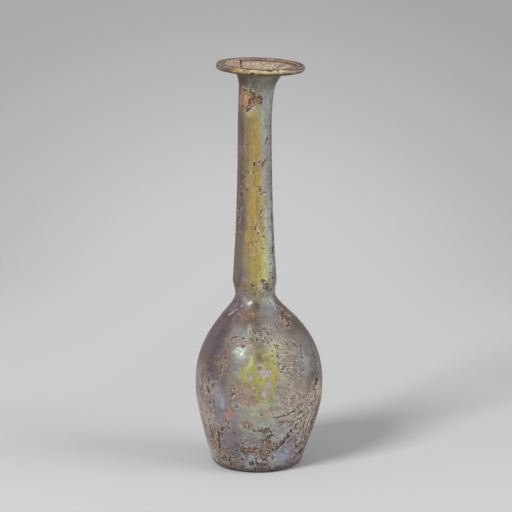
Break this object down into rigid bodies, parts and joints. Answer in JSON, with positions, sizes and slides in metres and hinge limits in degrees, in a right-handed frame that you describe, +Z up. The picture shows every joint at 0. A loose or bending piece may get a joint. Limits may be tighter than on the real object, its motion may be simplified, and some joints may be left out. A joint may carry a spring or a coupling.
{
  "type": "glass perfume bottle",
  "caption": "Free-blown glass perfume bottle with a small bulb, a long slim neck, a folded flat rim and a weathered iridescent skin.",
  "frame": {"origin": "on the table, under the middle of the bulb", "axes": "+Z up along the neck, +X towards the side where the rim drops, -Y the side that the picture shows"},
  "size_m": [0.0468, 0.0468, 0.1494],
  "materials": {
    "glass_wall": "brown glass, dulled and pitted by burial, all but opaque",
    "weathered_film": "opaque iridescent weathering film, satin, grey-green with ochre, lilac and blue, flaking at its edges",
    "mouth_crust": "dry pale crust of salts and decayed glass, matte and wrinkled"
  },
  "bodies": {
    "root": {"foot": "glass_wall", "bulb": "glass_wall", "neck": "glass_wall", "mouth": "glass_wall", "folded_rim": "glass_wall", "pontil_scar": "glass_wall", "film_on_bulb": "weathered_film", "film_on_neck": "weathered_film", "film_under_rim": "weathered_film", "crust_in_mouth": "mouth_crust"}
  },
  "joints": []
}
